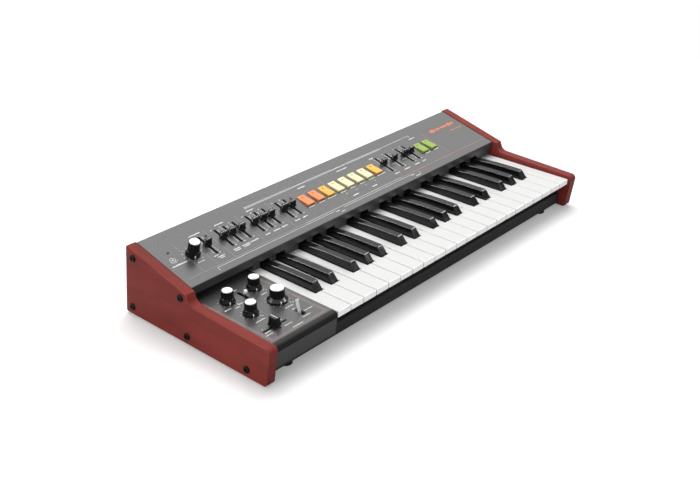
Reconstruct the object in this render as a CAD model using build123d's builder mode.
from build123d import *
import os
from collections import namedtuple
from math import sin, cos, tan, radians, degrees, atan2, hypot

# Keyboard synthesizer with 37 keys, a sloping control panel, a lower left-hand
# performance panel and two end cheeks.
# Frame: +X towards the high keys, +Y towards the rear, +Z up.
# Origin: centre of the footprint, on the surface the instrument stands on.
# All dimensions in millimetres.

os.makedirs("parts", exist_ok=True)

# ----------------------------------------------------------------------------
# driving dimensions
# ----------------------------------------------------------------------------
WIDTH = 650.0            # over the cheeks
CHEEK_T = 14.0
OUTER_X = WIDTH / 2      # outer face of a cheek
INNER_X = OUTER_X - CHEEK_T
SHEET = 1.5              # folded sheet thickness
FOOT_H = 5.0
FOOT_R = 8.0
FEET = [(-272.0, -100.3), (272.0, -100.3), (-272.0, 108.0), (272.0, 108.0)]

# cheek side profile (y, z)
BACK_BOTTOM = (129.0, 2.0)
BACK_TOP = (118.0, 99.0)
HUMP = (9.5, 70.4)       # front end of the upper slope
HUMP_LOW = (7.0, 64.0)
SHELF_MID = (3.2, 59.0)
SHELF_BACK = (-6.0, 56.9)
FRONT_TOP = (-129.0, 53.0)
FRONT_BOTTOM = (-121.0, 2.0)

# cheek screws (y, z): the high ones hold the upper panel, the low ones the base pan
CHEEK_SCREWS = [(105.3, 84.9), (114.7, 13.4), (19.6, 62.9), (11.8, 13.3), (-90.9, 13.2)]
HIGH_SCREWS = [CHEEK_SCREWS[i] for i in (0, 2)]
LOW_SCREWS = [CHEEK_SCREWS[i] for i in (1, 3, 4)]
SCREW_R = 2.0
SCREW_BORE_R = 2.06      # in the flanges and bosses
CHEEK_HOLE_R = 2.2
HIGH_SCREW_DEPTH, LOW_SCREW_DEPTH = 14.9, 21.0

# upper panel plane, through a datum at the front of the cheek's slope
SLOPE_DATUM = (10.0, 70.5)
TILT = atan2(BACK_TOP[1] - SLOPE_DATUM[1], BACK_TOP[0] - SLOPE_DATUM[0])
PANEL_NORMAL = (0, -sin(TILT), cos(TILT))
PANEL_INSET = 0.8        # panel surface below the cheek's top line
PANEL_Y0 = SLOPE_DATUM[0] + PANEL_INSET * sin(TILT)
PANEL_Z0 = SLOPE_DATUM[1] - PANEL_INSET * cos(TILT)
PANEL_HALF_W = 309.9     # leaves a gap beside each cheek
PANEL_LENGTH = 111.0     # up the slope to the rear bend
LIP_Y = 16.4             # front face of the upper panel's lip
LIP_BOTTOM_Z = 60.5
FLANGE_LOW_Z = 80.0      # bottom of the upper panel's rear flange

# lower left panel
LEFT_TOP_Z = 50.5
LEFT_X0, LEFT_X1 = -310.5, -208.7
LEFT_MID_X = (LEFT_X0 + LEFT_X1) / 2
LEFT_FRONT_Y, LEFT_BACK_Y = -124.6, 30.0
LEFT_FRONT_LOW = (-121.2, 20.0)      # (y, z) foot of its front wall

# base pan
PAN_Z = 5.0
RAIL_Y = -109.3          # front face of the front rail
RAIL_TOP_Z = 21.6
REAR_INSET = 2.4         # rear wall set in behind the upper panel's rear flange
REAR_TOP_Z = 86.0

# circuit boards
PCB_T = 1.6
SEAT = PCB_T - 0.2       # components start this far above a board's underside
CONTACT_BOARD_Z = 28.0
UPPER_BOARD_H = -11.6    # underside, measured from the upper panel's surface
UPPER_SEAT_H = UPPER_BOARD_H + SEAT
UPPER_BOARD_X0, UPPER_BOARD_X1 = -300.0, 225.0
LOWER_BOARD_Z = 34.0
MAIN_BOARD_Z = 18.0

# ----------------------------------------------------------------------------
# controls
# ----------------------------------------------------------------------------
# upper panel sliders, by x; every slot runs up the slope
SLIDERS_LEFT = [-240.3, -213.5, -198.7, -182.8, -159.4, -144.0, -129.5, -105.0, -90.2]
SLIDERS_RIGHT = [102.1, 126.0, 150.3, 165.2]
SLIDERS = SLIDERS_LEFT + SLIDERS_RIGHT
SLOT_START, SLOT_END, SLOT_W = 38.6, 75.2, 2.2
POT_MID = 57.0           # slide potentiometers' middle up the slope
CAP_REST = 57.5          # rest position of every cap up the slope
CAP_W = 9.6

# upper panel tabs, by x
TABS_CENTRE = [57.8 + 20.4 * k for k in range(-6, 2)]
TABS_RIGHT = [188.2, 208.4]
TABS = TABS_CENTRE + TABS_RIGHT
TAB_START, TAB_END, TAB_W = 45.0, 67.5, 13.4
TAB_MID, TAB_L = (TAB_START + TAB_END) / 2, TAB_END - TAB_START
TAB_TOP_H = 1.6          # tab face above the panel
TAB_SWITCH = 51.0        # switches and plungers up the slope
TAB_AXIS, TAB_AXIS_H = 71.6, -4.2
TAB_ROD_R = 1.2

# (x, distance up the slope)
LEDS = [(-291.7, 72.0), (-230.5, 72.2), (-78.7, 71.5)]
VOLUME = (-267.5, 53.5)

# lower left panel (x, y)
LEFT_KNOBS = {
    "left_knob_a": (-280.0, -12.3),
    "left_knob_b": (-235.9, -11.6),
    "left_knob_c": (-280.0, -52.2),
    "left_knob_large": (-237.6, -53.4),
}
MINI_LEVER = (-257.2, -14.5)
BAT_LEVER = (-238.6, -92.5)
BENDER = (-280.5, -92.0)
SHAFT_R = 3.0            # knob shafts
SHAFT_BORE_R = 3.06
BUSH_HOLE_R = 3.6
LEVER_Z = 43.5           # pivot height of both lever switches
LEVER_PIN_R, LEVER_BORE_R = 1.2, 1.25
MINI_LEAN, BAT_LEAN = 19.5, -14.0    # degrees, positive leans forward

# ----------------------------------------------------------------------------
# rear sockets
# ----------------------------------------------------------------------------
SOCKET_Z = 33.0
SOCKET_GAP = 0.3         # between a round nose and its hole in the rear wall
# round sockets: x positions, nose radius, opening radius, body (width, height), body centre z
ROUND_SOCKETS = [
    ([-165.0, -138.0, -111.0, -84.0, -57.0], 4.6, 3.2, (16.0, 20.0), 29.3),   # jacks
    ([-14.0], 12.0, 9.6, (27.0, 27.4), 33.0),                                 # microphone
    ([28.0, 56.0], 8.0, 6.9, (20.0, 23.0), 30.8),                             # DIN
    ([120.0], 5.0, 2.8, (13.0, 20.0), 29.3),                                  # DC inlet
]
USB_X = 90.0
USB_WALL_HOLE = (12.8, 11.8)
USB_BODY, USB_BODY_Z = (12.0, 19.4), 29.0
USB_NOSE = (12.0, 11.0)
USB_OPENING = (8.4, 7.8)

# ----------------------------------------------------------------------------
# keyboard
# ----------------------------------------------------------------------------
KEY_COUNT = 37
NATURAL_PITCH = 23.5
OCTAVE = 7 * NATURAL_PITCH
KEY_GAP = 1.0
KEYS_X0 = -207.2         # left limit of the lowest natural
KEY_FRONT_Y = -123.5
KEY_BACK_Y = 22.0
KEY_TOP_Z = 49.0
KEY_LIP_Z = 41.0         # bottom of the natural's front lip
KEY_WALL = 1.8
NOTCH_Y = -75.0          # where the naturals narrow beside the sharps
SHARP_FRONT_Y = -73.5
SHARP_CREST = (-65.8, 60.4)          # (y, z) top of the sloping front
SHARP_W_BASE = 12.5
SHARP_W_TOP = 10.0
SHARP_SLOT = 14.5
SHANK_W = 9.5
PIVOT = (88.0, 38.0)     # (y, z)
ROD_R = 2.0
KEY_BORE_R = 2.06
FRAME_BORE_R = 2.03
CONTACT_Y = -5.0         # contact domes and their board

# keybed frame
FRAME_X0, FRAME_X1 = -206.4, 302.0       # floor and beams
BRIDGE_X0, BRIDGE_X1 = -207.4, 309.0     # bridge runs on to the ends of the keyboard
COMB_Y = 20.6                            # front face of bridge lip and comb
# (y, z) front end of the bridge with its downward lip, from top to underside
BRIDGE_LIP = [(COMB_Y, 64.0), (COMB_Y, 60.0), (22.8, 60.0), (22.8, 62.0)]

# low and high x of each key's tail within an octave; in each group the naturals'
# tails share equally what the sharps' slots leave
NOTE_SPANS = {}
note_x = 0.0
for group in (("c", "cs", "d", "ds", "e"), ("f", "fs", "g", "gs", "a", "as", "b")):
    sharp_count = len(group) // 2
    natural_count = sharp_count + 1
    tail_w = (natural_count * NATURAL_PITCH - sharp_count * SHARP_SLOT) / natural_count
    for note in group:
        note_w = SHARP_SLOT if len(note) == 2 else tail_w
        NOTE_SPANS[note] = (note_x, note_x + note_w)
        note_x += note_w

# low, high: x limits of the tail; hub: its middle; head_low: x of the natural's wide front
Key = namedtuple("Key", "name note is_sharp low high hub head_low")
KEYS = []
for n in range(KEY_COUNT):
    octave, step = divmod(n, 12)
    note = list(NOTE_SPANS)[step]
    octave_x = KEYS_X0 + OCTAVE * octave
    low, high = NOTE_SPANS[note]
    if n == KEY_COUNT - 1:               # top C has no sharp above it
        high = NATURAL_PITCH
    KEYS.append(Key(
        name=f"key_{note}{octave + 3}", note=note, is_sharp=len(note) == 2,
        low=octave_x + low, high=octave_x + high, hub=octave_x + (low + high) / 2,
        head_low=octave_x + NATURAL_PITCH * "cdefgab".index(note[0])))
HUBS = [key.hub for key in KEYS]
# ribs between neighbouring key hubs, and one after the last
RIBS = [(a + b) / 2 for a, b in zip(HUBS, HUBS[1:])] + [HUBS[-1] + 6.9]


# ----------------------------------------------------------------------------
# helpers
# ----------------------------------------------------------------------------
def save(name, shape):
    shape.label = name
    export_step(shape, f"parts/{name}.step")


def slope(distance, height):
    """(y, z) of a point up the upper panel from its front datum, at a height above it"""
    return (PANEL_Y0 + distance * cos(TILT) - height * sin(TILT),
            PANEL_Z0 + distance * sin(TILT) + height * cos(TILT))


def panel_plane(height, x=0.0, distance=0.0):
    """plane parallel to the upper panel: local x = X, local y = up the slope"""
    return Plane(origin=(x, *slope(distance, height)), x_dir=(1, 0, 0), z_dir=PANEL_NORMAL)


def tab_axis_plane(x):
    """plane across the tabs' pivot axis"""
    return Plane(origin=(x, *slope(TAB_AXIS, TAB_AXIS_H)), x_dir=(0, 1, 0), z_dir=(1, 0, 0))


def rear_y(z, inset):
    """y of the leaning rear face at height z, set in from the cheek's back edge"""
    lean = (BACK_BOTTOM[0] - BACK_TOP[0]) / (BACK_TOP[1] - BACK_BOTTOM[1])
    return BACK_BOTTOM[0] - (z - BACK_BOTTOM[1]) * lean - inset


def sheet_outline(points, side):
    """closed outline of a folded sheet from its outer bend line; side +1 left, -1 right"""
    normals = []
    for a, b in zip(points, points[1:]):
        length = hypot(b[0] - a[0], b[1] - a[1])
        normals.append((-side * (b[1] - a[1]) / length, side * (b[0] - a[0]) / length))
    inner = []
    for i, (x, y) in enumerate(points):
        before = normals[max(i - 1, 0)]
        after = normals[min(i, len(normals) - 1)]
        miter = (before[0] + after[0], before[1] + after[1])
        scale = 2 * SHEET / (miter[0] ** 2 + miter[1] ** 2)
        inner.append((x + miter[0] * scale, y + miter[1] * scale))
    return list(points) + inner[::-1]


def nearest(vertices, point):
    """the sketch vertex nearest to a local point"""
    return min(vertices, key=lambda v: (v.X - point[0]) ** 2 + (v.Y - point[1]) ** 2)


def row(xs, y):
    """points at the given x positions, all at one y"""
    return [(x, y) for x in xs]


# ----------------------------------------------------------------------------
# end cheeks: solid slabs, bolted to the chassis from outside
# ----------------------------------------------------------------------------
def cheek(side):
    """side -1 is the left cheek, +1 the right"""
    x_start = INNER_X if side > 0 else -OUTER_X
    outer, inner = (-1, 0) if side > 0 else (0, -1)
    with BuildPart() as slab:
        with BuildSketch(Plane.YZ.offset(x_start)) as profile:
            with BuildLine():
                back = Line(BACK_BOTTOM, BACK_TOP)
                top = Line(back @ 1, HUMP)
                step_down = Line(top @ 1, HUMP_LOW)
                sweep = Spline(step_down @ 1, SHELF_MID, SHELF_BACK,
                               tangents=[(-0.25, -1.0), (-1.0, -0.035)])
                shelf = Line(sweep @ 1, FRONT_TOP)
                front = Line(shelf @ 1, FRONT_BOTTOM)
                Line(front @ 1, back @ 0)
            make_face()
            for corner, radius in ((FRONT_TOP, 6.5), (FRONT_BOTTOM, 4.0), (BACK_TOP, 2.5),
                                   (BACK_BOTTOM, 3.0), (HUMP, 1.6)):
                fillet(nearest(profile.vertices(), corner), radius)
        extrude(amount=CHEEK_T)
        fillet(slab.faces().sort_by(Axis.X)[outer].edges(), 1.1)
        fillet(slab.faces().sort_by(Axis.X)[inner].edges(), 0.4)
        # clearance holes for the fixing screws
        with BuildSketch(Plane.YZ.offset(x_start - 1)):
            with Locations(*CHEEK_SCREWS):
                Circle(CHEEK_HOLE_R)
        extrude(amount=CHEEK_T + 2, mode=Mode.SUBTRACT)
    return slab.part


# ----------------------------------------------------------------------------
# upper control panel: folded sheet with lip, rear flange and side flanges
# ----------------------------------------------------------------------------
def under_panel(y):
    """z just inside the upper panel's underside"""
    return PANEL_Z0 + (y - PANEL_Y0) * tan(TILT) - SHEET / cos(TILT) + 0.3


def top_panel():
    lip_bottom = (LIP_Y, LIP_BOTTOM_Z)
    lip_top = slope((LIP_Y - PANEL_Y0) / cos(TILT), 0)
    back_top = slope(PANEL_LENGTH, 0)
    bend_line = [(LIP_Y + 3.4, LIP_BOTTOM_Z), lip_bottom, lip_top, back_top,
                 (rear_y(FLANGE_LOW_Z, 0.6), FLANGE_LOW_Z)]
    flange_front_y, flange_back_y, flange_low_z = 17.2, 113.0, 57.8
    window_gap = 1.2         # total, around a tab
    with BuildPart() as panel:
        with BuildSketch(Plane.YZ.offset(-PANEL_HALF_W)) as fold:
            with BuildLine():
                Polyline(*sheet_outline(bend_line, -1), close=True)
            make_face()
            fillet(nearest(fold.vertices(), lip_top), 1.6)
            fillet(nearest(fold.vertices(), back_top), 3.0)
            fillet(nearest(fold.vertices(), lip_bottom), 1.0)
        extrude(amount=2 * PANEL_HALF_W)
        # side flanges that the upper cheek screws pass through
        for x in (-INNER_X, INNER_X - SHEET):
            with BuildSketch(Plane.YZ.offset(x)):
                with BuildLine():
                    Polyline((flange_front_y, flange_low_z),
                             (flange_front_y, under_panel(flange_front_y)),
                             (flange_back_y, under_panel(flange_back_y)),
                             (114.4, 79.0), (98.0, 77.0), (30.0, flange_low_z), close=True)
                make_face()
                with Locations(*HIGH_SCREWS):
                    Circle(SCREW_BORE_R, mode=Mode.SUBTRACT)
            extrude(amount=SHEET)
        with BuildSketch(panel_plane(2)):
            # slots for the sliders
            with Locations(*row(SLIDERS, (SLOT_START + SLOT_END) / 2)):
                SlotOverall(SLOT_END - SLOT_START, SLOT_W, rotation=90)
            # lamp holes and the volume control's bush hole
            with Locations(*LEDS):
                Circle(1.6)
            with Locations(VOLUME):
                Circle(BUSH_HOLE_R)
            # windows for the tabs
            with Locations(*row(TABS, TAB_MID)):
                RectangleRounded(TAB_W + window_gap, TAB_L + window_gap, 0.8)
        extrude(amount=-6, mode=Mode.SUBTRACT)
    return panel.part


# ----------------------------------------------------------------------------
# lower left performance panel: folded cover with front wall and right-hand wall
# ----------------------------------------------------------------------------
def left_panel():
    front_top = (LEFT_FRONT_Y, LEFT_TOP_Z)
    bend_line = [(LEFT_BACK_Y, 57.5), (LEFT_BACK_Y, LEFT_TOP_Z), front_top, LEFT_FRONT_LOW]
    bend_r = 5.0
    wall_corner = (LEFT_FRONT_Y + 0.3, LEFT_TOP_Z - 0.3)
    wall_back_y, wall_low_z = LEFT_BACK_Y - 1.0, 22.0
    with BuildPart() as panel:
        with BuildSketch(Plane.YZ.offset(LEFT_X0)) as fold:
            with BuildLine():
                Polyline(*sheet_outline(bend_line, 1), close=True)
            make_face()
            fillet(nearest(fold.vertices(), front_top), bend_r)
            inside_corner = (LEFT_FRONT_Y + SHEET, LEFT_TOP_Z - SHEET)
            fillet(nearest(fold.vertices(), inside_corner), bend_r - SHEET)
        extrude(amount=LEFT_X1 - LEFT_X0)
        # right-hand wall beside the lowest key
        with BuildSketch(Plane.YZ.offset(LEFT_X1 - SHEET)) as wall:
            with BuildLine():
                Polyline((wall_back_y, wall_corner[1]), wall_corner,
                         (LEFT_FRONT_LOW[0] + 0.7, wall_low_z), (wall_back_y, wall_low_z),
                         close=True)
            make_face()
            fillet(nearest(wall.vertices(), wall_corner), bend_r)
        extrude(amount=SHEET)
        # openings for the controls
        with BuildSketch(Plane.XY.offset(LEFT_TOP_Z + 1)):
            with Locations(*LEFT_KNOBS.values()):
                Circle(BUSH_HOLE_R)
            with Locations(MINI_LEVER):
                RectangleRounded(4.2, 19.4, 2.0)
            with Locations(BAT_LEVER):
                RectangleRounded(5.0, 12.6, 2.4)
            with Locations(BENDER):
                SlotOverall(38.6, 2.6)
        extrude(amount=-4, mode=Mode.SUBTRACT)
    return panel.part


# ----------------------------------------------------------------------------
# base pan: floor, front key rail, rear socket wall, side walls and left shelf
# ----------------------------------------------------------------------------
def base_pan():
    rail_top, rail_foot = (RAIL_Y, RAIL_TOP_Z), (RAIL_Y, PAN_Z)
    rear_foot = (rear_y(PAN_Z, REAR_INSET), PAN_Z)
    bend_line = [(RAIL_Y + 17.3, RAIL_TOP_Z), rail_top, rail_foot, rear_foot,
                 (rear_y(REAR_TOP_Z, REAR_INSET), REAR_TOP_Z)]
    half_w = INNER_X - 0.2
    shelf_front, shelf_back = -120.9, RAIL_Y + 0.8
    with BuildPart() as pan:
        with BuildSketch(Plane.YZ.offset(-half_w)) as fold:
            with BuildLine():
                Polyline(*sheet_outline(bend_line, 1), close=True)
            make_face()
            fillet(nearest(fold.vertices(), rail_top), 2.2)
            fillet(nearest(fold.vertices(), rail_foot), 1.4)
            fillet(nearest(fold.vertices(), rear_foot), 1.4)
        extrude(amount=2 * half_w)
        # side walls against the cheeks
        for x in (-INNER_X, INNER_X - SHEET):
            with BuildSketch(Plane.YZ.offset(x)):
                with BuildLine():
                    Polyline((RAIL_Y + 1.0, PAN_Z + 0.2), (RAIL_Y + 1.0, RAIL_TOP_Z - 0.4),
                             (-60.0, 28.0), (60.0, 28.0),
                             (rear_y(60.0, REAR_INSET + 1.0), 60.0),
                             (rear_y(PAN_Z, REAR_INSET + 0.8), PAN_Z + 0.2), close=True)
                make_face()
                with Locations(*LOW_SCREWS):
                    Circle(SCREW_BORE_R, mode=Mode.SUBTRACT)
            extrude(amount=SHEET)
        # bosses inside the side walls
        for x, inward in ((-INNER_X + 1.4, 1), (INNER_X - 1.4, -1)):
            with BuildSketch(Plane.YZ.offset(x)):
                with Locations(*LOW_SCREWS):
                    Circle(5.0)
                with Locations(*LOW_SCREWS):
                    Circle(SCREW_BORE_R, mode=Mode.SUBTRACT)
            extrude(amount=6.0 * inward)
        # shelf that closes the left panel's box from below
        with BuildSketch(Plane.XY.offset(18.2)):
            with Locations((LEFT_MID_X, (shelf_front + shelf_back) / 2)):
                Rectangle(LEFT_X1 - LEFT_X0 - 0.4, shelf_back - shelf_front)
        extrude(amount=SHEET)
        # socket openings in the rear wall
        with BuildSketch(Plane.XZ.offset(-135)):
            for xs, nose_r, _, _, _ in ROUND_SOCKETS:
                with Locations(*row(xs, SOCKET_Z)):
                    Circle(nose_r + SOCKET_GAP)
            with Locations((USB_X, SOCKET_Z)):
                Rectangle(*USB_WALL_HOLE)
        extrude(amount=20, mode=Mode.SUBTRACT)
        # cooling louvres in the rear wall
        with BuildSketch(Plane.XZ.offset(-135)):
            with GridLocations(9.0, 0, 12, 1):
                with Locations((225.0, 34.0)):
                    SlotOverall(22.0, 2.4, rotation=90)
        extrude(amount=20, mode=Mode.SUBTRACT)
    return pan.part


# ----------------------------------------------------------------------------
# keys
# ----------------------------------------------------------------------------
def shank_profile(x_mid):
    """side profile of a key's rear arm, with the pivot hub and its bore"""
    with BuildSketch(Plane.YZ.offset(x_mid - SHANK_W / 2)) as arm:
        with BuildLine():
            Polyline((-12.0, 47.4), (-12.0, 39.6), (80.0, 34.0), (88.0, 33.0),
                     (92.0, 38.0), (86.0, 43.4), (24.0, 47.4), close=True)
        make_face()
        with Locations(PIVOT):
            Circle(5.0)
        with Locations(PIVOT):
            Circle(KEY_BORE_R, mode=Mode.SUBTRACT)
    return arm.sketch


def natural_key(layout):
    """hollow-backed natural: plate, front lip, side skirts and rear arm"""
    head_w = NATURAL_PITCH - KEY_GAP
    head_mid = layout.head_low + NATURAL_PITCH / 2
    head_l = NOTCH_Y - KEY_FRONT_Y
    head_mid_y = (KEY_FRONT_Y + NOTCH_Y) / 2
    tail_w = layout.high - layout.low - KEY_GAP
    with BuildPart() as key:
        with BuildSketch(Plane.XY.offset(KEY_LIP_Z)):
            with Locations((head_mid, head_mid_y)):
                Rectangle(head_w, head_l)
            with Locations((layout.hub, (NOTCH_Y - 1 + KEY_BACK_Y) / 2)):
                Rectangle(tail_w, KEY_BACK_Y - NOTCH_Y + 1)
        extrude(amount=KEY_TOP_Z - KEY_LIP_Z)
        # soft front edge
        front_top = key.edges().filter_by(Axis.X).group_by(Axis.Z)[-1].sort_by(Axis.Y)[0]
        fillet(front_top, 1.2)
        fillet(key.edges().filter_by(Axis.Z).group_by(Axis.Y)[0], 0.8)
        # hollow underside
        with BuildSketch(Plane.XY.offset(KEY_LIP_Z - 0.5)):
            with Locations((head_mid, head_mid_y)):
                Rectangle(head_w - 2 * KEY_WALL, head_l - 2 * KEY_WALL)
            with Locations((layout.hub, (NOTCH_Y - 3) / 2)):
                Rectangle(tail_w - 2 * KEY_WALL, 3 - NOTCH_Y)
        extrude(amount=KEY_TOP_Z - KEY_LIP_Z - 2.0, mode=Mode.SUBTRACT)
        extrude(shank_profile(layout.hub), amount=SHANK_W)
    return key.part


def sharp_key(x_mid):
    """raised key: convex top, sloping front, tapered sides and rear arm"""
    half_base, half_top = SHARP_W_BASE / 2, SHARP_W_TOP / 2
    with BuildPart() as key:
        with BuildSketch(Plane.YZ.offset(x_mid - half_base)) as profile:
            with BuildLine():
                bottom = Line((KEY_BACK_Y, 42.0), (SHARP_FRONT_Y, 42.0))
                nose = Line(bottom @ 1, (SHARP_FRONT_Y, 49.6))
                ramp = Line(nose @ 1, SHARP_CREST)
                top = Spline(ramp @ 1, (-30.0, 60.0), (0.0, 58.4), (KEY_BACK_Y, 56.0))
                Line(top @ 1, bottom @ 0)
            make_face()
            fillet(nearest(profile.vertices(), SHARP_CREST), 2.0)
        extrude(amount=SHARP_W_BASE)
        # side taper
        with BuildSketch(Plane.XZ.offset(-100)):
            with BuildLine():
                Polyline((x_mid - half_base, 30.0), (x_mid - half_base, 49.8),
                         (x_mid - half_top, 61.5), (x_mid + half_top, 61.5),
                         (x_mid + half_base, 49.8), (x_mid + half_base, 30.0), close=True)
            make_face()
        extrude(amount=200, mode=Mode.INTERSECT)
        # softened long edges along the top
        fillet([e for e in key.edges() if e.center().Z > 50.5 and e.center().Y < KEY_BACK_Y - 1
                and abs(e.center().X - x_mid) > 4.5], 0.9)
        extrude(shank_profile(x_mid), amount=SHANK_W)
    return key.part


# ----------------------------------------------------------------------------
# keybed frame: floor, stop beam, board ridges, pivot ribs, rear wall, bridge and
# guard comb, with the pivot rod lying in it
# ----------------------------------------------------------------------------
def keybed():
    tooth_gap = 0.9          # beside a sharp and at the ends of the keyboard
    with BuildPart() as frame:
        # C-shaped section: floor, rear wall and bridge over the keys
        with BuildSketch(Plane.YZ.offset(FRAME_X0)):
            with BuildLine():
                Polyline((-90.0, 12.0), (100.0, 12.0), (100.0, 64.0), *BRIDGE_LIP,
                         (97.5, 62.0), (97.5, 14.5), (-80.0, 14.5), (-80.0, 32.2),
                         (-90.0, 32.2), close=True)
            make_face()
            # ridges that carry the contact board
            with Locations((-18.0, 21.0), (8.0, 21.0)):
                Rectangle(4.0, 14.0)
            # feet of the frame on the pan
            with Locations((-70.0, 9.25), (60.0, 9.25)):
                Rectangle(8.0, 5.5)
        extrude(amount=FRAME_X1 - FRAME_X0)
        # bridge carried on to both ends of the keyboard
        for x_from, x_to in ((BRIDGE_X0, FRAME_X0 + 0.5), (FRAME_X1 - 0.5, BRIDGE_X1)):
            with BuildSketch(Plane.YZ.offset(x_from)):
                with BuildLine():
                    Polyline((97.5, 62.0), (97.5, 64.0), *BRIDGE_LIP, close=True)
                make_face()
            extrude(amount=x_to - x_from)
        # comb teeth: one block above each natural's tail, between the sharps;
        # teeth of neighbouring naturals meet
        with BuildSketch(Plane.XZ.offset(-COMB_Y)):
            for i, key in enumerate(KEYS):
                if key.is_sharp:
                    continue
                meets_lower = key.note in ("c", "f") and i > 0
                meets_upper = key.note in ("e", "b")
                tooth_low = key.low + (0.0 if meets_lower else tooth_gap)
                tooth_high = key.high - (0.0 if meets_upper else tooth_gap)
                with Locations(((tooth_low + tooth_high) / 2, 55.6)):
                    Rectangle(tooth_high - tooth_low, 10.4)
        extrude(amount=-3.0)
        # pad that carries the last rib beyond the end of the floor
        with BuildSketch(Plane.XY.offset(12.0)):
            with Locations((303.6, 90.0)):
                Rectangle(5.2, 20.0)
        extrude(amount=2.5)
        # ribs between the key hubs
        with BuildSketch(Plane.XY.offset(14.0)):
            with Locations(*row(RIBS, PIVOT[0])):
                Rectangle(2.0, 12.0)
        extrude(amount=30.0)
        # bore for the pivot rod
        with BuildSketch(Plane.YZ.offset(FRAME_X0 - 2)):
            with Locations(PIVOT):
                Circle(FRAME_BORE_R)
        extrude(amount=FRAME_X1 - FRAME_X0 + 12, mode=Mode.SUBTRACT)
    with BuildPart() as rod:
        with BuildSketch(Plane.YZ.offset(FRAME_X0 + 0.2)):
            with Locations(PIVOT):
                Circle(ROD_R)
        extrude(amount=RIBS[-1] + 2.0 - FRAME_X0)
    return Compound(children=[frame.part, rod.part])


def key_contact_board():
    """board with one contact dome under each key"""
    with BuildPart() as board:
        with BuildSketch(Plane.XY.offset(CONTACT_BOARD_Z)):
            with Locations(((FRAME_X0 + FRAME_X1) / 2, CONTACT_Y)):
                Rectangle(FRAME_X1 - FRAME_X0 - 4.0, 30.0)
        extrude(amount=PCB_T)
        with BuildSketch(Plane.XY.offset(CONTACT_BOARD_Z + 1.5)):
            with Locations(*row(HUBS, CONTACT_Y)):
                Circle(3.6)
        extrude(amount=4.9, taper=14)
    return board.part


# ----------------------------------------------------------------------------
# control boards
# ----------------------------------------------------------------------------
def upper_board():
    """board under the sloping panel"""
    with BuildPart() as board:
        with BuildSketch(panel_plane(UPPER_BOARD_H)):
            with Locations(((UPPER_BOARD_X0 + UPPER_BOARD_X1) / 2, 55.0)):
                Rectangle(UPPER_BOARD_X1 - UPPER_BOARD_X0, 50.0)
        extrude(amount=PCB_T)
        # slide potentiometers and the rotary one
        with BuildSketch(panel_plane(UPPER_SEAT_H)):
            with Locations(*row(SLIDERS, POT_MID)):
                Rectangle(8.6, 46.0)
            with Locations(VOLUME):
                Rectangle(16.0, 18.0)
        extrude(amount=7.0)
        # grooves for the slider blades and the bore for the volume shaft
        with BuildSketch(panel_plane(-3.0)):
            with Locations(*row(SLIDERS, POT_MID)):
                Rectangle(2.4, 37.0)
            with Locations(VOLUME):
                Circle(SHAFT_BORE_R)
        extrude(amount=-5.2, mode=Mode.SUBTRACT)
        # tab switches
        with BuildSketch(panel_plane(UPPER_SEAT_H)):
            with Locations(*row(TABS, TAB_SWITCH)):
                Rectangle(7.0, 7.0)
        extrude(amount=3.6)
        # pivot brackets for the tab rods
        with BuildSketch(panel_plane(UPPER_SEAT_H)):
            for bank in (TABS_CENTRE, TABS_RIGHT):
                with Locations((bank[0] - 9.2, TAB_AXIS), (bank[-1] + 9.2, TAB_AXIS)):
                    Rectangle(2.4, 6.0)
        extrude(amount=8.4)
        # lamp bodies reaching through the panel
        with BuildSketch(panel_plane(UPPER_SEAT_H)):
            with Locations(*LEDS):
                Circle(1.45)
        extrude(amount=11.0)
        # stand-offs that meet the underside of the panel
        with BuildSketch(panel_plane(UPPER_SEAT_H)):
            with Locations((-297.0, 34.0), (-297.0, 78.0), (-75.0, 33.0), (222.0, 33.0),
                           (222.0, 78.0)):
                Circle(2.5)
        extrude(amount=-UPPER_SEAT_H - SHEET)
        # bores for the tab rods
        for bank in (TABS_CENTRE, TABS_RIGHT):
            with BuildSketch(tab_axis_plane(bank[0] - 12.0)):
                Circle(TAB_ROD_R + 0.05)
            extrude(amount=bank[-1] - bank[0] + 24.0, mode=Mode.SUBTRACT)
    return board.part


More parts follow.
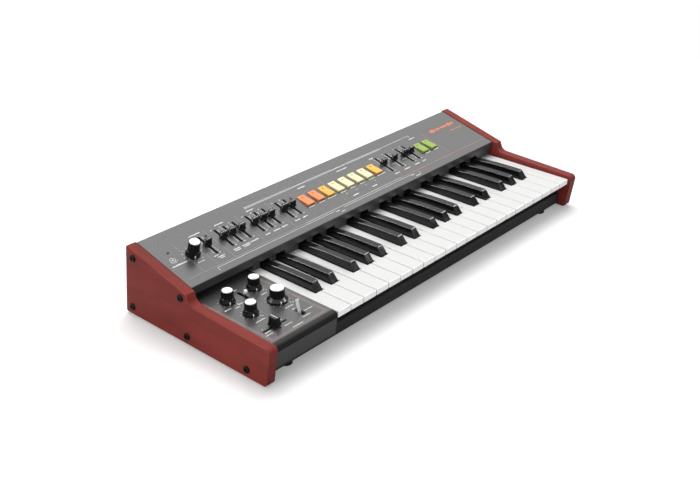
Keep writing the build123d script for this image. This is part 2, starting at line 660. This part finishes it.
def lower_board():
    """board under the lower left panel"""
    seat_z = LOWER_BOARD_Z + SEAT
    mini_x, mini_y = MINI_LEVER
    bat_x, bat_y = BAT_LEVER
    with BuildPart() as board:
        with BuildSketch(Plane.XY.offset(LOWER_BOARD_Z)):
            with Locations((-259.0, -51.0)):
                Rectangle(94.0, 106.0)
        extrude(amount=PCB_T)
        # bodies below the knobs and the bender
        with BuildSketch(Plane.XY.offset(seat_z)):
            with Locations(*LEFT_KNOBS.values()):
                Rectangle(16.0, 16.0)
            with Locations(BENDER):
                Rectangle(46.0, 9.0)
        extrude(amount=8.0)
        # housings of the two lever switches
        with BuildSketch(Plane.XY.offset(seat_z)):
            with Locations((mini_x, mini_y - 3.0)):
                Rectangle(8.0, 18.0)
            with Locations(BAT_LEVER):
                Rectangle(10.0, 14.0)
        extrude(amount=3.0)
        # shaft bores and the bender's groove
        with BuildSketch(Plane.XY.offset(seat_z + 8.0)):
            with Locations(*LEFT_KNOBS.values()):
                Circle(SHAFT_BORE_R)
            with Locations(BENDER):
                Rectangle(39.0, 2.8)
        extrude(amount=-6.0, mode=Mode.SUBTRACT)
        # pivot ears of the two lever switches
        with BuildSketch(Plane.XY.offset(LOWER_BOARD_Z + 4.0)):
            with Locations((mini_x - 3.1, mini_y), (mini_x + 3.1, mini_y)):
                Rectangle(1.4, 5.0)
            with Locations((bat_x - 4.0, bat_y), (bat_x + 4.0, bat_y)):
                Rectangle(1.6, 6.0)
        extrude(amount=7.5)
        for x, y in (MINI_LEVER, BAT_LEVER):
            with BuildSketch(Plane.YZ.offset(x - 5.5)):
                with Locations((y, LEVER_Z)):
                    Circle(LEVER_BORE_R)
            extrude(amount=11.0, mode=Mode.SUBTRACT)
        # stand-offs that meet the underside of the left panel
        with BuildSketch(Plane.XY.offset(seat_z)):
            with Locations((-302.0, -2.0), (-215.0, -2.0), (-302.0, -100.0), (-216.0, -100.0)):
                Circle(2.5)
        extrude(amount=LEFT_TOP_Z - SHEET - seat_z)
    return board.part


# ----------------------------------------------------------------------------
# main board with the rear sockets
# ----------------------------------------------------------------------------
def main_board():
    floor_top = PAN_Z + SHEET
    with BuildPart() as board:
        with BuildSketch(Plane.XY.offset(MAIN_BOARD_Z)):
            with Locations((-20.0, 111.5)):
                Rectangle(330.0, 20.0)
        extrude(amount=PCB_T)
        # stand-offs on the pan floor
        with BuildSketch(Plane.XY.offset(floor_top)):
            with Locations(*row([-180.0, -70.0, 40.0, 140.0], 106.0)):
                Circle(3.0)
        extrude(amount=MAIN_BOARD_Z - floor_top + 0.2)
        # socket bodies
        with BuildSketch(Plane.XZ.offset(-103.0)):
            for xs, _, _, body, body_z in ROUND_SOCKETS:
                with Locations(*row(xs, body_z)):
                    Rectangle(*body)
            with Locations((USB_X, USB_BODY_Z)):
                Rectangle(*USB_BODY)
        extrude(amount=-17.0)
        # noses through the rear wall
        with BuildSketch(Plane.XZ.offset(-119.0)):
            for xs, nose_r, _, _, _ in ROUND_SOCKETS:
                with Locations(*row(xs, SOCKET_Z)):
                    Circle(nose_r)
            with Locations((USB_X, SOCKET_Z)):
                Rectangle(*USB_NOSE)
        extrude(amount=-6.6)
        # openings of the sockets
        with BuildSketch(Plane.XZ.offset(-126.0)):
            for xs, _, opening_r, _, _ in ROUND_SOCKETS:
                with Locations(*row(xs, SOCKET_Z)):
                    Circle(opening_r)
            with Locations((USB_X, SOCKET_Z)):
                Rectangle(*USB_OPENING)
        extrude(amount=12.0, mode=Mode.SUBTRACT)
    return board.part


# ----------------------------------------------------------------------------
# fasteners and feet
# ----------------------------------------------------------------------------
def cheek_screw(side, centre):
    """screw at (y, z) in the left (-1) or right (+1) cheek"""
    depth = LOW_SCREW_DEPTH if centre in LOW_SCREWS else HIGH_SCREW_DEPTH
    with BuildPart() as screw:
        with BuildSketch(Plane.YZ.offset(side * OUTER_X)):
            with Locations(centre):
                Circle(4.6)
        extrude(amount=2.4 * side)
        fillet(screw.edges().sort_by(Axis.X)[-1 if side > 0 else 0], 1.3)
        with BuildSketch(Plane.YZ.offset(side * (OUTER_X + 0.05))):
            with Locations(centre):
                Circle(SCREW_R)
        extrude(amount=-(depth + 0.05) * side)
        # hexagon socket in the head
        with BuildSketch(Plane.YZ.offset(side * (OUTER_X + 2.6))):
            with Locations(centre):
                RegularPolygon(1.7, 6)
        extrude(amount=-1.9 * side, mode=Mode.SUBTRACT)
    return screw.part


def rubber_foot(centre):
    with BuildPart() as foot:
        with BuildSketch(Plane.XY):
            with Locations(centre):
                Circle(FOOT_R)
        extrude(amount=FOOT_H)
        chamfer(foot.edges().group_by(Axis.Z)[0], 0.8)
    return foot.part


# ----------------------------------------------------------------------------
# knobs: fluted skirted bodies with a top cap and an integral shaft
# ----------------------------------------------------------------------------
def knob(plane, skirt_r, top_r, height, shaft_depth, flutes):
    grip_r = top_r + 0.7
    cone_h = 3.8
    with BuildPart() as body:
        with BuildSketch(plane.offset(0.9)):
            Circle(skirt_r)
        extrude(amount=1.6)
        with BuildSketch(plane.offset(2.4)):
            Circle(skirt_r)
        extrude(amount=cone_h, taper=degrees(atan2(skirt_r - grip_r, cone_h)))
        with BuildSketch(plane.offset(6.1)):
            Circle(grip_r)
            with PolarLocations(top_r + 2.0, flutes):
                Circle(2.0, mode=Mode.SUBTRACT)
        extrude(amount=height - 6.9, taper=1.5)
        with BuildSketch(plane.offset(height - 0.9)):
            Circle(top_r - 0.5)
        extrude(amount=0.9)
        with BuildSketch(plane.offset(1.0)):
            Circle(SHAFT_R)
        extrude(amount=-shaft_depth)
    return body.part


# ----------------------------------------------------------------------------
# upper panel slider caps: waisted blades on thin stems
# ----------------------------------------------------------------------------
def slider_cap(x):
    side_plane = Plane(origin=(x - CAP_W / 2, *slope(CAP_REST, 0)),
                       x_dir=(0, cos(TILT), sin(TILT)), z_dir=(1, 0, 0))
    with BuildPart() as cap:
        with BuildSketch(side_plane):
            with BuildLine():
                foot = Line((-4.0, 1.4), (4.0, 1.4))
                flank = Spline(foot @ 1, (2.1, 5.4), (2.2, 10.4))
                top = Line(flank @ 1, (-2.2, 10.4))
                Spline(top @ 1, (-2.1, 5.4), foot @ 0)
            make_face()
        extrude(amount=CAP_W)
        fillet(cap.edges().filter_by(Axis.X).group_by(Axis.Z)[-1], 0.5)
        # stem
        with BuildSketch(panel_plane(1.6, x, CAP_REST)):
            Rectangle(1.4, 4.0)
        extrude(amount=-7.8)
    return cap.part


# ----------------------------------------------------------------------------
# tabs: flat plates on a common pivot rod behind them, pressed at the front
# ----------------------------------------------------------------------------
def tab_bank(xs):
    plate_low_h, arm_low_h = -2.2, -5.6
    arm_start, arm_end = 60.0, TAB_AXIS + 0.6
    with BuildPart() as bank:
        # plates
        with BuildSketch(panel_plane(plate_low_h)):
            with Locations(*row(xs, TAB_MID)):
                RectangleRounded(TAB_W, TAB_L, 0.6)
        extrude(amount=TAB_TOP_H - plate_low_h)
        top = bank.faces().filter_by(lambda f: f.normal_at(f.center()).Z > 0.9).sort_by(Axis.Z)
        fillet([e for f in top[-len(xs):] for e in f.edges()], 0.5)
        # plungers above the switches
        with BuildSketch(panel_plane(-2.0)):
            with Locations(*row(xs, TAB_SWITCH)):
                Rectangle(3.0, 3.0)
        extrude(amount=-2.6)
        # arms from the plates back to the rod
        with BuildSketch(panel_plane(arm_low_h)):
            with Locations(*row(xs, (arm_start + arm_end) / 2)):
                Rectangle(5.0, arm_end - arm_start)
        extrude(amount=3.4)
        # blocks that join the arms to the plates
        with BuildSketch(panel_plane(arm_low_h)):
            with Locations(*row(xs, 62.0)):
                Rectangle(5.0, 4.0)
        extrude(amount=4.0)
        # pivot rod
        with BuildSketch(tab_axis_plane(xs[0] - 10.6)):
            Circle(TAB_ROD_R)
        extrude(amount=xs[-1] - xs[0] + 21.2)
    return bank.part


# ----------------------------------------------------------------------------
# lower left panel: pitch bender cap, mini lever and bat lever
# ----------------------------------------------------------------------------
def bender_cap():
    length = 12.0            # front to back
    x, y = BENDER
    back_plane = Plane(origin=(x, y + length / 2, LEFT_TOP_Z), x_dir=(1, 0, 0),
                       z_dir=(0, -1, 0))
    with BuildPart() as cap:
        with BuildSketch(back_plane):
            with BuildLine():
                foot = Line((-6.0, 1.6), (6.0, 1.6))
                flank = Spline(foot @ 1, (3.6, 7.0), (3.4, 13.0))
                top = Line(flank @ 1, (-3.4, 13.0))
                Spline(top @ 1, (-3.6, 7.0), foot @ 0)
            make_face()
        extrude(amount=length)
        fillet(cap.edges().filter_by(Axis.Y).group_by(Axis.Z)[-1], 0.8)
        # stem
        with BuildSketch(Plane(origin=(x, y, LEFT_TOP_Z + 2.0))):
            Rectangle(5.0, 1.6)
        extrude(amount=-11.0)
    return cap.part


def lever_plane(centre, lean):
    """plane at the pivot whose normal leans by 'lean' degrees (positive leans forward)"""
    angle = radians(lean)
    return Plane(origin=(*centre, LEVER_Z), x_dir=(1, 0, 0),
                 z_dir=(0, -sin(angle), cos(angle)))


def mini_lever():
    base = lever_plane(MINI_LEVER, MINI_LEAN)
    pin_l = 8.4
    with BuildPart() as lever:
        with BuildSketch(base):
            Rectangle(2.4, 3.0)
        extrude(amount=13.0)
        with BuildSketch(base.offset(12.0)):
            Circle(1.7)
        extrude(amount=4.6)
        fillet(lever.edges().sort_by(Axis.Z)[-1], 1.2)
        # pivot pin
        with BuildSketch(Plane.YZ.offset(MINI_LEVER[0] - pin_l / 2)):
            with Locations((MINI_LEVER[1], LEVER_Z)):
                Circle(LEVER_PIN_R)
        extrude(amount=pin_l)
    return lever.part


def bat_lever():
    base = lever_plane(BAT_LEVER, BAT_LEAN)
    pin_l = 10.4
    with BuildPart() as lever:
        with BuildSketch(base):
            Rectangle(3.2, 2.4)
        extrude(amount=9.0)
        # blade widening towards its tip
        with BuildSketch(base.offset(8.5)):
            RectangleRounded(3.4, 1.7, 0.5)
        with BuildSketch(base.offset(22.5)):
            RectangleRounded(4.8, 1.7, 0.7)
        loft()
        # pivot pin
        with BuildSketch(Plane.YZ.offset(BAT_LEVER[0] - pin_l / 2)):
            with Locations((BAT_LEVER[1], LEVER_Z)):
                Circle(LEVER_PIN_R)
        extrude(amount=pin_l)
    return lever.part


# ----------------------------------------------------------------------------
# build and write every piece
# ----------------------------------------------------------------------------
save("left_cheek", cheek(-1))
save("right_cheek", cheek(1))
save("top_panel", top_panel())
save("left_panel", left_panel())
save("base_pan", base_pan())

for key_layout in KEYS:
    if key_layout.is_sharp:
        save(key_layout.name, sharp_key(key_layout.hub))
    else:
        save(key_layout.name, natural_key(key_layout))
save("keybed_frame", keybed())
save("key_contact_board", key_contact_board())

save("control_boards", Compound(children=[upper_board(), lower_board()]))
save("main_board", main_board())
save("cheek_screws", Compound(children=[cheek_screw(side, centre) for side in (-1, 1)
                                        for centre in CHEEK_SCREWS]))
save("rubber_feet", Compound(children=[rubber_foot(centre) for centre in FEET]))

SMALL_KNOB = dict(skirt_r=9.7, top_r=6.9, flutes=12)
LARGE_KNOB = dict(skirt_r=12.8, top_r=8.8, flutes=14)
save("volume_knob", knob(panel_plane(0, *VOLUME), height=19.8, shaft_depth=7.4, **SMALL_KNOB))
for knob_name, centre in LEFT_KNOBS.items():
    if knob_name == "left_knob_large":
        size = dict(height=17.5, **LARGE_KNOB)
    else:
        size = dict(height=16.1, **SMALL_KNOB)
    knob_plane = Plane(origin=(*centre, LEFT_TOP_Z))
    save(knob_name, knob(knob_plane, shaft_depth=11.8, **size))

save("left_slider_caps", Compound(children=[slider_cap(x) for x in SLIDERS_LEFT]))
save("right_slider_caps", Compound(children=[slider_cap(x) for x in SLIDERS_RIGHT]))
save("centre_tabs", tab_bank(TABS_CENTRE))
save("right_tabs", tab_bank(TABS_RIGHT))
save("bender_cap", bender_cap())
save("mini_lever", mini_lever())
save("bat_lever", bat_lever())
